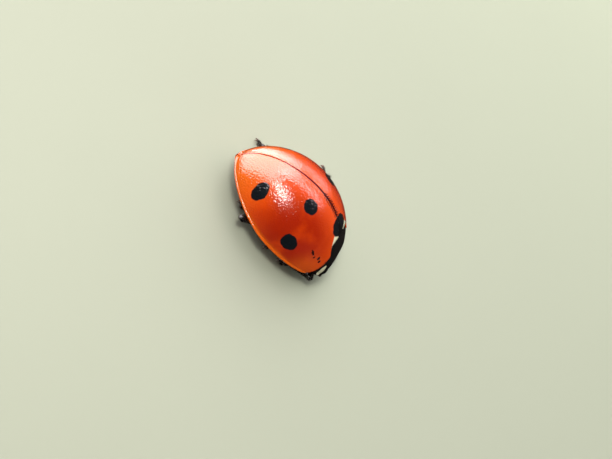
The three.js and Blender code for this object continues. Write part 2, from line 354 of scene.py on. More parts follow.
def add_piece(name, bm, material, slot, *nodes, wall=0.0):
    """Makes a piece of a mesh in body measures, rides it on the body and hides the nodes it stands for."""
    for vert in bm.verts:
        vert.co = to_frame(vert.co)
    mesh = bpy.data.meshes.new(name)
    bm.to_mesh(mesh)
    bm.free()
    mesh.shade_smooth()
    mesh.materials.append(material)
    piece = bpy.data.objects.new(name, mesh)
    bpy.context.scene.collection.objects.link(piece)
    if wall:
        solidify = piece.modifiers.new("wall", "SOLIDIFY")
        solidify.thickness = wall
        solidify.offset = -1
    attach(piece, "root")
    if nodes:
        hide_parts(*nodes)


def ball(centre, radii, columns, rows):
    """A ball drawn out to three radii."""
    bm = bmesh.new()
    bmesh.ops.create_uvsphere(bm, u_segments=columns, v_segments=rows, radius=1)
    for vert in bm.verts:
        vert.co = Vector([c * r for c, r in zip(vert.co, radii)]) + Vector(centre)
    return bm


def rim_swell(from_rim, bead, gutter):
    """A bead along a rim and the gutter inside it, each given as its height, its place and its width."""
    return bead[0] * bell(from_rim, *bead[1:]) - gutter[0] * bell(from_rim, *gutter[1:])


def tucked(under, sag, rise):
    """Height of an edge turned under: it sags a little and then rises towards the body."""
    return -sag * math.sin(math.pi * min(1.0, under / 0.3)) + rise * under


def beside_and_over(start, end):
    """Unit vectors to the side of a limb and over it."""
    along = (end - start).normalized()
    side = along.cross(Vector((0, 0, 1))).normalized()
    return side, side.cross(along).normalized()


def limb_skin(start, end, profile, flat=1.0, bow=0.0, cap=0.12):
    """The skin of a spindle from start to end whose half width follows profile, with rounded ends."""
    start, end = Vector(start), Vector(end)
    side, over = beside_and_over(start, end)

    def place(turn, share):
        share = (1 - math.cos(math.pi * share)) / 2
        near = min(share, 1 - share) / cap
        radius = curve(profile, share) * (math.sqrt(max(0.0, 1 - (1 - near) ** 2)) if near < 1 else 1)
        angle = 2 * math.pi * turn
        middle = start.lerp(end, share) + over * bow * 4 * share * (1 - share)
        return middle + side * math.cos(angle) * radius + over * math.sin(angle) * radius * flat

    return place


def limb(start, end, profile, columns=20, rows=24, flat=1.0, bow=0.0, cap=0.12):
    return roll(columns, rows, limb_skin(start, end, profile, flat, bow, cap))


def new_coat():
    """An empty mesh for hairs, with the map that says where on the skin each one stands."""
    bm = bmesh.new()
    bm.loops.layers.uv.new("OFBake")
    return bm


def grow_hairs(bm, skin, count, length, tile, seed, rows=(0.08, 0.95), turns=(0.0, 1.0), lean=0.8):
    """Adds bent pointed hairs rooted on a skin and leaning along it. Each one's map is a tiny patch at its
    root's place in the tile of the skin, given as its corner and its size."""
    rng = random.Random(seed)
    patches = bm.loops.layers.uv["OFBake"]
    for _ in range(count):
        turn, share = rng.uniform(*turns), rng.uniform(*rows)
        root = skin(turn, share)
        out = (root - (root + skin((turn + 0.5) % 1, share)) / 2).normalized()
        along = (skin(turn, share + 0.03) - skin(turn, share - 0.03)).normalized()
        beside = out.cross(along)
        across = beside * rng.uniform(-HAIR["splay"], HAIR["splay"])
        rise = (out + (along + across) * lean).normalized()
        droop = (out * HAIR["stand"] + (along + across) * lean).normalized()
        reach = length * rng.uniform(*HAIR["lengths"])
        bend = root + rise * reach * 0.5
        rings = []
        for middle, half in ((root - out * HAIR["sunk"], HAIR["root"]), (bend, HAIR["bend"])):
            ring = [beside * math.cos(a) * half + along * math.sin(a) * half for a in HAIR_SIDES]
            rings.append([bm.verts.new(middle + edge) for edge in ring])
        tip = bm.verts.new(bend + droop * reach * 0.5)
        faces = [bm.faces.new(reversed(rings[0]))]
        for i in range(3):
            j = (i + 1) % 3
            faces.append(bm.faces.new((rings[0][i], rings[0][j], rings[1][j], rings[1][i])))
            faces.append(bm.faces.new((rings[1][i], rings[1][j], tip)))
        corner, size = tile
        place = Vector((corner[0] + size * turn, corner[1] + size * share))
        for face in faces:
            for loop, patch_corner in zip(face.loops, PATCH_CORNERS):
                loop[patches].uv = place + Vector(patch_corner) * HAIR_PATCH
    bmesh.ops.recalc_face_normals(bm, faces=bm.faces)


# ---------------------------------------------------------------- materials


def node(tree, kind, inputs=None, **settings):
    """Adds a node; inputs holds a value or a socket to link for each of its inputs."""
    made = tree.nodes.new(kind)
    for name, value in settings.items():
        setattr(made, name, value)
    for name, value in (inputs or {}).items():
        if isinstance(value, bpy.types.NodeSocket):
            tree.links.new(value, made.inputs[name])
        else:
            made.inputs[name].default_value = value
    return made


def new_material(name):
    material = bpy.data.materials.new(name)
    material.use_nodes = True
    tree = material.node_tree
    tree.nodes.clear()
    shader = node(tree, "ShaderNodeBsdfPrincipled")
    node(tree, "ShaderNodeOutputMaterial", {"Surface": shader.outputs[0]})
    return material, tree, shader


def vector_maths(tree, operation, *inputs):
    """The outputs of a sum on places: the place and, where it has one, the value."""
    return node(tree, "ShaderNodeVectorMath", dict(enumerate(inputs)), operation=operation).outputs


def body_place(tree):
    """Body measures in millimetres at the point being shaded."""
    place = node(tree, "ShaderNodeTexCoord").outputs["Object"]
    moved = vector_maths(tree, "SUBTRACT", place, to_frame((0, 0, 0)))[0]
    return vector_maths(tree, "MULTIPLY", moved, (1 / MM,) * 3)[0]


def maths(tree, operation, a, b=0.0, c=0.0):
    return node(tree, "ShaderNodeMath", {0: a, 1: b, 2: c}, operation=operation).outputs[0]


def mixed(tree, share, a, b):
    """A colour between a and b."""
    made = node(tree, "ShaderNodeMix", {"Factor": share, 6: a, 7: b}, data_type="RGBA")
    return made.outputs[2]


def fade(tree, value, low, high):
    """0 below low and 1 above high, or the other way round."""
    inputs = {0: value, 1: low, 2: high, 3: 0.0, 4: 1.0}
    return node(tree, "ShaderNodeMapRange", inputs, interpolation_type="SMOOTHSTEP").outputs[0]


def clouds(tree, place, size, detail=2.0):
    """Soft noise in patches of about a size in millimetres."""
    inputs = {"Vector": place, "Scale": 1 / size, "Detail": detail}
    return node(tree, "ShaderNodeTexNoise", inputs).outputs[0]


def cells(tree, place, size, uneven=1.0):
    """How far a place is from the middle of its cell, for cells of a size in millimetres."""
    inputs = {"Vector": place, "Scale": 1 / size, "Randomness": uneven}
    return node(tree, "ShaderNodeTexVoronoi", inputs).outputs["Distance"]


def wobbled(tree, place, size, amount):
    """The place pushed about by noise of a size in millimetres."""
    cloud = node(tree, "ShaderNodeTexNoise", {"Vector": place, "Scale": 1 / size})
    centred = vector_maths(tree, "SUBTRACT", cloud.outputs["Color"], (0.5, 0.5, 0.5))[0]
    return vector_maths(tree, "MULTIPLY_ADD", centred, (amount,) * 3, place)[0]


def blob(tree, place, centre, radii, edge=0.06):
    """1 inside a rounded patch about a centre, with an edge a little soft."""
    off = vector_maths(tree, "SUBTRACT", place, centre)[0]
    shares = vector_maths(tree, "DIVIDE", off, radii)[0]
    distance = vector_maths(tree, "LENGTH", shares)["Value"]
    return fade(tree, distance, 1 + edge, 1 - edge)


def mirrored(tree, place):
    """The place with x made positive, so that marks come in pairs."""
    x, y, z = node(tree, "ShaderNodeSeparateXYZ", {0: place}).outputs
    across = maths(tree, "ABSOLUTE", x)
    return node(tree, "ShaderNodeCombineXYZ", {0: across, 1: y, 2: z}).outputs[0]


def bumped(tree, height, distance, below=None):
    """A normal for a height that goes up to a distance in millimetres, over the bumps below it."""
    inputs = {"Height": height, "Distance": distance * MM}
    if below:
        inputs["Normal"] = below
    return node(tree, "ShaderNodeBump", inputs).outputs[0]


def pitted(tree, place, spacing, edge, depth):
    """A normal for round pits a spacing apart, whose sides end at a share of it."""
    return bumped(tree, fade(tree, cells(tree, place, spacing), 0.0, edge), depth)


def finish(tree, shader, colour, roughness, ior=1.5, normal=None):
    """Gives a shader its colour, its gloss and its bumps."""
    tree.links.new(colour, shader.inputs["Base Color"])
    shader.inputs["Roughness"].default_value = roughness
    shader.inputs["IOR"].default_value = ior
    if normal:
        tree.links.new(normal, shader.inputs["Normal"])


def wing_pigment_and_painted_light(tree, place, pair, colours):
    """The orange-red of the wing cases, darkened on the flanks by painted shade and paled at the rim, tail
    and shoulders by painted light.
    """
    _, y, z = node(tree, "ShaderNodeSeparateXYZ", {0: pair}).outputs
    # Painted shade: the flanks are mixed towards the darker red, broken up by soft clouds.
    shaded_flank = blob(tree, wobbled(tree, pair, 1.2, 0.5), (1.9, 1.7, RIM_Z + 1.0), (1.5, 1.9, 1.7), 0.5)
    painted_shade = maths(tree, "MULTIPLY", shaded_flank, fade(tree, clouds(tree, place, 1.3, 3.0), 0.1, 0.55))
    red = mixed(tree, painted_shade, list(colours.wing_case), list(colours.wing_painted_shade))
    # Painted light: the rim, the tail and the shoulders are paled towards a lighter orange, standing in for
    # their highlight and sheen.
    lit_rim_and_tail = maths(tree, "MAXIMUM", fade(tree, z, RIM_Z + 0.3, RIM_Z), fade(tree, y, 3.4, 5.4))
    shoulder = blob(tree, pair, (2.2, 0.0, RIM_Z + 0.2), (0.8, 0.8, 0.8), 0.6)
    pale = maths(tree, "MAXIMUM", lit_rim_and_tail, maths(tree, "MULTIPLY", shoulder, 0.35))
    return mixed(tree, pale, red, list(colours.wing_painted_light))


def beside_suture(tree, x, y):
    """How far a place lies outside the dark line of the suture, which uneven teeth widen near the front."""
    cloud = node(tree, "ShaderNodeTexNoise", {"W": y, "Scale": 4.0}, noise_dimensions="1D").outputs[0]
    leaning = maths(tree, "MULTIPLY_ADD", x, TOOTH["lean"], y)
    uneven = maths(tree, "MULTIPLY_ADD", cloud, 0.12, leaning)
    teeth = maths(tree, "PINGPONG", uneven, TOOTH["pitch"] / 2)
    toothed = maths(tree, "MULTIPLY", fade(tree, y, 2.1, 1.7), fade(tree, y, 0.6, 0.8))
    teeth = maths(tree, "MULTIPLY", fade(tree, teeth, 0.02, 0.032), toothed)
    widened = maths(tree, "MULTIPLY_ADD", fade(tree, y, 4.6, 2.8), 0.035, 0.02)
    return maths(tree, "SUBTRACT", x, maths(tree, "MULTIPLY_ADD", teeth, TOOTH["length"], widened))


def wing_spots(tree, place, dome):
    """1 inside the black spots, whose edges are ragged."""
    ragged = wobbled(tree, place, 0.26, 0.15)
    spots = 0.0
    for (across, along), radii in SPOTS:
        centre = (across, along, RIM_Z + dome.surface(across, along))
        spots = maths(tree, "MAXIMUM", spots, blob(tree, ragged, centre, radii))
    return spots


def wing_scratches(tree, place):
    """1 inside the scratches."""
    ragged = wobbled(tree, place, 0.09, 0.12)
    scratched = 0.0
    for centre, radii in SCRATCHES:
        scratched = maths(tree, "MAXIMUM", scratched, blob(tree, ragged, centre, radii, 0.2))
    return scratched


def lacquered_wing_chitin(colours, dome):
    """Hard sclerotised chitin: a clear, lacquer-like outer layer over a carotenoid orange-red. A fine grain
    breaks a lamp's reflection into sparkles, while a broad soft light lies on it as a pale sheen."""
    material, tree, shader = new_material("lacquered_wing_chitin")
    place = body_place(tree)
    pair = mirrored(tree, place)
    x, y, _ = node(tree, "ShaderNodeSeparateXYZ", {0: pair}).outputs
    beside = beside_suture(tree, x, y)
    scratched = wing_scratches(tree, place)

    groove = mixed(tree, fade(tree, y, 3.4, 1.9), linear("#8C1206"), linear("#4A0804"))
    wedge = maths(tree, "SUBTRACT", maths(tree, "MULTIPLY_ADD", x, -0.88, 0.68), y)
    cream = maths(tree, "MULTIPLY", fade(tree, wedge, -0.02, 0.03), fade(tree, x, 0.98, 0.92))
    colour = wing_pigment_and_painted_light(tree, place, pair, colours)
    colour = mixed(tree, fade(tree, beside, 0.012, -0.012), colour, groove)
    colour = mixed(tree, cream, colour, list(colours.cream))
    # The spots take the black with its painted bluish reflection.
    colour = mixed(tree, wing_spots(tree, place, dome), colour, list(colours.spot))
    colour = mixed(tree, scratched, colour, linear("#2A0B04"))

    seam_ridge = maths(tree, "MULTIPLY", fade(tree, beside, 0.0, 0.03), fade(tree, beside, 0.13, 0.05))
    normal = bumped(tree, fade(tree, cells(tree, place, 0.11, uneven=0.9), 0.0, 0.4), 0.005)
    normal = bumped(tree, clouds(tree, place, 0.07, detail=0.0), 0.012, below=normal)
    normal = bumped(tree, maths(tree, "SUBTRACT", 1.0, scratched), 0.02, below=normal)
    normal = bumped(tree, seam_ridge, 0.012, below=normal)
    finish(tree, shader, colour, roughness=0.25, ior=1.3, normal=normal)
    tree.links.new(normal, shader.inputs["Coat Normal"])
    shader.inputs["Coat Weight"].default_value = 1.0
    shader.inputs["Coat Roughness"].default_value = 0.06
    shader.inputs["Coat IOR"].default_value = 1.56
    return material


def polished_black_chitin(colours):
    """Black sclerotised chitin, finely pitted and polished, with waxy cream corners on the pronotum."""
    material, tree, shader = new_material("polished_black_chitin")
    place = body_place(tree)
    pair = wobbled(tree, mirrored(tree, place), 0.3, 0.05)
    corner = blob(tree, pair, (1.46, -0.68, RIM_Z + 0.3), (0.32, 0.11, 0.32))
    tint = mixed(tree, maths(tree, "MULTIPLY", corner, 0.7), list(colours.black), list(colours.cream))
    pits = pitted(tree, place, spacing=0.06, edge=0.5, depth=0.003)
    finish(tree, shader, tint, roughness=0.26, ior=1.4, normal=pits)
    return material


def head_chitin(colours):
    """The same black chitin on the head, more deeply pitted, with two cream marks beside the eyes."""
    material, tree, shader = new_material("pitted_head_chitin")
    place = body_place(tree)
    pair = wobbled(tree, mirrored(tree, place), 0.2, 0.04)
    mark = blob(tree, pair, (0.36, -1.15, RIM_Z + 0.06), (0.1, 0.3, 0.1))
    tint = mixed(tree, mark, list(colours.black), list(colours.cream))
    pits = pitted(tree, place, spacing=0.06, edge=0.4, depth=0.005)
    finish(tree, shader, tint, roughness=0.33, ior=1.56, normal=pits)
    return material


def eye_facets():
    """A compound eye: clear lenses over black, drawn coarser than the real 0.02 mm so that they show."""
    material, tree, shader = new_material("eye_facets")
    lens = fade(tree, cells(tree, body_place(tree), 0.04, uneven=0.15), 0.6, 0.0)
    tree.links.new(bumped(tree, lens, 0.006), shader.inputs["Normal"])
    shader.inputs["Base Color"].default_value = linear("#08090B")
    shader.inputs["Roughness"].default_value = 0.12
    return material


def limb_chitin(colours):
    """Black chitin of the legs: a narrow bright gleam along each joint, broken by the pits of its hairs."""
    material, tree, shader = new_material("haired_limb_chitin")
    place = body_place(tree)
    brown = fade(tree, clouds(tree, place, 0.25, detail=3.0), 0.4, 0.8)
    tint = mixed(tree, brown, list(colours.black), linear("#1E1611"))
    pits = pitted(tree, place, spacing=0.05, edge=0.45, depth=0.004)
    finish(tree, shader, tint, roughness=0.24, normal=pits)
    return material


def feeler_chitin(colours):
    """Thin brown chitin of the feelers and palps, darker towards their ends, and of the claws."""
    material, tree, shader = new_material("brown_feeler_chitin")
    place = body_place(tree)
    y = node(tree, "ShaderNodeSeparateXYZ", {0: place}).outputs[1]
    tint = mixed(tree, fade(tree, y, -1.0, -1.15), list(colours.feeler), linear("#1B0F09"))
    uneven = bumped(tree, clouds(tree, place, 0.04), 0.004)
    finish(tree, shader, tint, roughness=0.42, ior=1.55, normal=uneven)
    return material


def underside_chitin(colours):
    """Softer black chitin of the underside, dull with dense shallow pits, and the white side plates."""
    material, tree, shader = new_material("dull_underside_chitin")
    place = body_place(tree)
    pair = wobbled(tree, mirrored(tree, place), 0.3, 0.06)
    plate = blob(tree, pair, (1.62, 0.42, RIM_Z - 0.1), (0.3, 0.2, 0.3))
    tint = mixed(tree, plate, list(colours.under), list(colours.cream))
    pits = pitted(tree, place, spacing=0.08, edge=0.5, depth=0.006)
    finish(tree, shader, tint, roughness=0.45, ior=1.55, normal=pits)
    return material


def pale_setae(colours):
    """Fine pale setae: thin chitin that catches the light along its length."""
    material, tree, shader = new_material("pale_setae")
    tint = mixed(tree, clouds(tree, body_place(tree), 0.3), list(colours.down), linear("#5C574B"))
    finish(tree, shader, tint, roughness=0.4)
    return material


def matt_studio_floor(colours):
    """Matt painted board, with a very faint mottle."""
    material, tree, shader = new_material("matt_studio_floor")
    pale = list(colours.floor)
    darker = [c * 0.97 for c in pale[:3]] + [1.0]
    tint = mixed(tree, clouds(tree, body_place(tree), 9.0, detail=3.0), pale, darker)
    finish(tree, shader, tint, roughness=0.8)
    return material


# ---------------------------------------------------------------- operators


class LadybirdOperator:
    """What the operators share: undo, and the sizes and colours that they read"""

    bl_options = {"REGISTER", "UNDO"}

    def execute(self, context):
        scene = context.scene
        self.make(scene.ladybird_sizes, scene.ladybird_colours)
        return {"FINISHED"}


SIDES = {"left": 1, "right": -1}


class LADYBIRD_OT_wing_cases(LadybirdOperator, bpy.types.Operator):
    """Make the two wing cases"""

    bl_idname = "ladybird.wing_cases"
    bl_label = "Wing cases"

    dome_share = 0.86  # of the grid; the rest is turned under as the epipleuron
    rim_radius = 2.3  # turns an angle near the rim into a distance from it
    bead = (0.03, 0.0, 0.05)
    gutter = (0.014, 0.13, 0.06)
    seam_bevel = 0.03
    seam_gap = 0.008
    dents = {"height": 0.012, "per_mm": 1.1}

    def point(self, dome, side, across, along):
        notch_angle = math.asin(SCUTELLUM["half_width"] / SHOULDER["half_width"])
        over = min(1.0, across / self.dome_share)
        under = max(0.0, (across - self.dome_share) / (1 - self.dome_share))
        share = math.sin(lerp(notch_angle, math.pi / 2, over)) ** (2 / dome.section)
        start = front_edge(share)
        y = start + (dome.length - start) * math.sin(along * math.pi / 2)
        half = dome.half_width(y)
        first = math.asin(clamp01(notch(y) / half)) if half > 0.01 else 0.0
        angle = lerp(first, math.pi / 2, over)
        x = half * math.sin(angle) ** (2 / dome.section)
        z = dome.height(y) * max(0.0, math.cos(angle)) ** (2 / dome.section)
        swell = rim_swell((math.pi / 2 - angle) * self.rim_radius, self.bead, self.gutter)
        bevel = self.seam_bevel * (1 - smooth(0, self.seam_bevel, x - notch(y)))
        x += swell * math.sin(angle) * min(1.0, half / 0.5)
        z += swell * math.cos(angle) - bevel
        z += self.dents["height"] * noise.noise(Vector((side * x, y, z)) * self.dents["per_mm"])
        inwards = 1 - smooth(0.0, 1.0, under) * (1 - smooth(0.8, 1, along))
        x *= lerp(INNER["x"], 1, inwards)
        y = INNER["centre_y"] + (y - INNER["centre_y"]) * lerp(INNER["y"], 1, inwards)
        z += tucked(under, 0.05, 0.12)
        return Vector((side * (x + self.seam_gap / 2), y, RIM_Z + z))

    def make(self, sizes, colours):
        dome = Dome(sizes)
        chitin = lacquered_wing_chitin(colours, dome)
        for name, side in SIDES.items():
            bm = sheet(130, 150, lambda a, b: self.point(dome, side, a, b), outwards=side > 0)
            add_piece(f"wing_case_{name}", bm, chitin, "wing_case", f"elytron_{name}", wall=sizes.shell)


class LADYBIRD_OT_shield(LadybirdOperator, bpy.types.Operator):
    """Make the pronotum and the scutellum"""

    bl_idname = "ladybird.shield"
    bl_label = "Pronotum and scutellum"

    hind_half_width = 1.72
    front_half_width = 1.05
    front_y = -0.945
    corner_reach = 0.05
    hind_corner_y = -0.43
    side_power = 2.3
    rim_z = 0.06
    hind_section = 2.3
    front_section = 2.05
    top_share = 0.86  # of the grid; the rest is turned under
    rim_radius = 1.5
    bead = (0.03, 0.0, 0.06)
    gutter = (0.02, 0.2, 0.1)
    scutellum_gap = 0.012
    scutellum_crown = 0.02

    def hind_line(self, aside):
        """Hind edge: it fits the wing cases up to their shoulders and then runs out to its corners."""
        s = SHOULDER
        share = aside * self.hind_half_width / s["half_width"]
        fitted = s["base"] + s["step"] * smooth(s["from"], s["to"], share)
        return max(-fitted, self.hind_corner_y - 0.06)

    def point(self, dome, across, along):
        across = 2 * across - 1
        over = clamp01(abs(across) / self.top_share)
        under = max(0.0, (abs(across) - self.top_share) / (1 - self.top_share))
        angle = over * math.pi / 2
        section = lerp(self.hind_section, self.front_section, along)
        aside = math.sin(angle) ** (2 / section)
        front = self.front_y - self.corner_reach * smooth(0.4, 0.9, aside)
        y = lerp(self.hind_line(aside) - 0.012, front, along)
        side_length = self.hind_corner_y - self.front_y + self.corner_reach
        narrowing = clamp01((self.hind_corner_y - y) / side_length)
        x = aside * lerp(self.hind_half_width, self.front_half_width, narrowing**self.side_power)
        drop = max(0.0, math.cos(angle)) ** (2 / section)
        z = self.rim_z + (dome.shield_height(y) - self.rim_z) * drop
        swell = rim_swell((math.pi / 2 - angle) * self.rim_radius, self.bead, self.gutter)
        x += swell * math.sin(angle)
        z += swell * math.cos(angle)
        z -= 0.05 * (1 - smooth(0, 0.05, 1 - along)) + 0.04 * (1 - smooth(0, 0.04, along))
        x *= 1 - 0.2 * smooth(0, 1, under)
        z += tucked(under, 0.04, 0.06)
        return Vector((math.copysign(x, across), y, RIM_Z + z))

    def scutellum_point(self, dome, across, along):
        y = lerp(0.005 - SHOULDER["base"], SCUTELLUM["length"] - SHOULDER["base"] - 0.04, along)
        x = (2 * across - 1) * max(0.004, notch(y) - self.scutellum_gap)
        crown = self.scutellum_crown * (1 - (2 * across - 1) ** 2)
        return Vector((x, y, RIM_Z + dome.surface(x, y) + crown - self.scutellum_crown))

    def make(self, sizes, colours):
        dome = Dome(sizes)
        chitin = polished_black_chitin(colours)
        bm = sheet(150, 50, lambda a, b: self.point(dome, a, b), outwards=False)
        add_piece("pronotum_shield", bm, chitin, "shield", "pronotum", wall=sizes.shell)
        bm = sheet(16, 20, lambda a, b: self.scutellum_point(dome, a, b))
        add_piece("scutellum_plate", bm, chitin, "shield", "scutellum", wall=0.12 * MM)


class LADYBIRD_OT_head(LadybirdOperator, bpy.types.Operator):
    """Make the head capsule, the upper lip and the jaws"""

    bl_idname = "ladybird.head"
    bl_label = "Head"

    centre = Vector((0, -0.69, RIM_Z - 0.2))
    radii = (0.78, 0.52, 0.56)
    hair_count, hair_length = 170, 0.055

    def shaped(self, p):
        """The head from a unit ball: a face that narrows downwards, with a clypeus and a hollow over it."""
        narrowing = 1 - 0.22 * smooth(0.1, -1, p.z)
        front = smooth(0.2, -0.9, p.y)
        brow = 0.03 * bell(p.z, 0.1, 0.3) * front
        clypeus = 0.05 * front * smooth(-0.15, -0.4, p.z) * smooth(0.62, 0.45, abs(p.x))
        crease = 0.03 * front * bell(p.z, -0.2, 0.06) * smooth(0.7, 0.5, abs(p.x))
        x = p.x * self.radii[0] * narrowing
        y = p.y * self.radii[1] + brow - clypeus + crease
        return self.centre + Vector((x, y, p.z * self.radii[2]))

    def make(self, sizes, colours):
        chitin = head_chitin(colours)
        bm = ball((0, 0, 0), (1, 1, 1), 72, 48)
        for vert in bm.verts:
            vert.co = self.shaped(vert.co)
        add_piece("head_capsule", bm, chitin, "head", "head")

        def face(turn, share):
            around = 2 * math.pi * turn
            polar = math.pi * share
            level = Vector((math.cos(around), math.sin(around), 0)) * math.sin(polar)
            return self.shaped(level - Vector((0, 0, math.cos(polar))))

        coat = new_coat()
        whole_map = ((0.0, 0.0), 0.95)
        front = {"rows": (0.24, 0.74), "turns": (0.63, 0.87)}
        grow_hairs(coat, face, self.hair_count, self.hair_length, whole_map, "face", lean=-0.6, **front)
        add_piece("hairs_face", coat, pale_setae(colours), "head")
        lip = ball((0, -1.03, RIM_Z - 0.54), (0.27, 0.13, 0.17), 36, 20)
        jaws = [
            limb((side * 0.3, -0.91, 0.32), (side * 0.06, -1.07, 0.24), [(0, 0.09), (0.7, 0.06), (1, 0.03)])
            for side in SIDES.values()
        ]
        add_piece("lip_and_jaws", join(lip, *jaws), chitin, "head", "labrum")


class LADYBIRD_OT_eyes(LadybirdOperator, bpy.types.Operator):
    """Make the two compound eyes"""

    bl_idname = "ladybird.eyes"
    bl_label = "Eyes"

    def make(self, sizes, colours):
        facets = eye_facets()
        for name, side in SIDES.items():
            bm = ball((side * 0.64, -0.83, RIM_Z - 0.07), (0.23, 0.27, 0.33), 48, 32)
            add_piece(f"compound_eye_{name}", bm, facets, "eye", f"eye_{name}")


class LADYBIRD_OT_feelers(LadybirdOperator, bpy.types.Operator):
    """Make the feelers and the palps"""

    bl_idname = "ladybird.feelers"
    bl_label = "Feelers and palps"

    joints = 11
    base_widths = [(0, 0.05), (0.06, 0.075), (0.14, 0.05), (0.2, 0.036)]
    club_widths = [(0.68, 0.036), (0.76, 0.07), (0.93, 0.1), (1, 0.07)]
    arch = 0.12

    def feeler(self, side):
        """Eleven short joints, the last three widened into a club."""
        start = Vector((side * 0.44, -1.07, RIM_Z - 0.14))
        end = Vector((side * 0.8, -1.12, RIM_Z - 0.68))
        across, over = beside_and_over(start, end)

        def place(turn, share):
            waist = 1 - 0.38 * abs(math.cos(math.pi * self.joints * share)) ** 5
            rounding = min(1.0, share / 0.01, (1 - share) / 0.01) ** 0.5
            radius = curve(self.base_widths + self.club_widths, share) * waist * rounding
            middle = start.lerp(end, share) + over * self.arch * 4 * share * (1 - share)
            angle = 2 * math.pi * turn
            return middle + across * math.cos(angle) * radius + over * math.sin(angle) * radius

        return roll(14, self.joints * 10, place)

    def palp(self, side):
        """Two slim joints and a hatchet-shaped one."""
        first, second = [(0, 0.05), (1, 0.06)], [(0, 0.05), (1, 0.065)]
        hatchet = [(0, 0.05), (0.8, 0.13), (1, 0.13)]
        return join(
            limb((side * 0.26, -0.67, 0.32), (side * 0.3, -0.79, 0.29), first, 14, 10, cap=0.4),
            limb((side * 0.3, -0.78, 0.29), (side * 0.35, -0.91, 0.28), second, 14, 10, cap=0.4),
            limb((side * 0.34, -0.89, 0.28), (side * 0.4, -1.07, 0.21), hatchet, 18, 14, flat=0.5),
        )

    def make(self, sizes, colours):
        chitin = feeler_chitin(colours)
        for name, side in SIDES.items():
            add_piece(f"feeler_{name}", self.feeler(side), chitin, "feeler", f"antenna_{name}")
            add_piece(f"hatchet_palp_{name}", self.palp(side), chitin, "feeler", f"palp_{name}")


class LADYBIRD_OT_trunk(LadybirdOperator, bpy.types.Operator):
    """Make the plates of the underside"""

    bl_idname = "ladybird.trunk"
    bl_label = "Underside"

    keel = {"depth": 0.46, "deepest_y": 1.3, "reach": 3.9}
    under_section = 2.6
    rounded = 0.04  # share of a length's skin that closes either end
    below = {"rows": (0.1, 0.9), "turns": (0.53, 0.97)}  # where the hairs stand
    hairs_per_mm, hair_length = 620, 0.1

    def depth(self, y):
        """How far the underside hangs below the rim."""
        return self.keel["depth"] * math.sqrt(1 - ((y - self.keel["deepest_y"]) / self.keel["reach"]) ** 2)

    def relief(self, name, x, half, share):
        """How far a plate of the underside stands out at a place."""
        if name.startswith("abdomen"):
            lip = 0.02 * smooth(0.5, 0.92, share) - 0.03 * smooth(0.93, 1, share)
            return lip - 0.02 * bell(abs(x) / half, 0.78, 0.05)
        if name == "metathorax":
            midline = 0.035 * bell(x, 0.0, 0.05) * smooth(0.2, 0.5, share)
            return 0.02 * smooth(0, 0.3, share) - midline
        return 0.0

    def plate_skin(self, dome, name, front, back):
        def place(turn, along):
            share = clamp01((along - self.rounded) / (1 - 2 * self.rounded))
            closing = smooth(0, self.rounded, along) * smooth(0, self.rounded, 1 - along)
            y = lerp(front + GAP / 2, back - GAP / 2, share)
            angle = 2 * math.pi * turn
            aside, up = math.cos(angle), math.sin(angle)
            half = dome.trunk_half_width(y)
            if up >= 0:
                x = half * power(aside, 2 / dome.section)
                z = dome.trunk_height(y) * power(up, 2 / dome.section)
            else:
                x = half * power(aside, 2 / self.under_section)
                z = self.depth(y) * power(up, 2 / self.under_section)
                z -= self.relief(name, x, half, share) * min(1, -up * 3)
            return Vector((x * closing, y, RIM_Z + z * closing))

        return place

    def make(self, sizes, colours):
        dome = Dome(sizes)
        chitin = underside_chitin(colours)
        coat = new_coat()
        for i, (name, (front, back)) in enumerate(TRUNK.items()):
            skin = self.plate_skin(dome, name, front, back)
            rows = max(12, round((back - front) * 36))
            add_piece(f"plate_{name}", roll(96, rows, skin), chitin, "underside", name)
            tile = ((0.25 * (i % 4), 0.25 * (i // 4)), 0.22)
            count = round(self.hairs_per_mm * (back - front))
            grow_hairs(coat, skin, count, self.hair_length, tile, name, **self.below, lean=1.6)
        add_piece("hairs_belly", coat, pale_setae(colours), "underside")


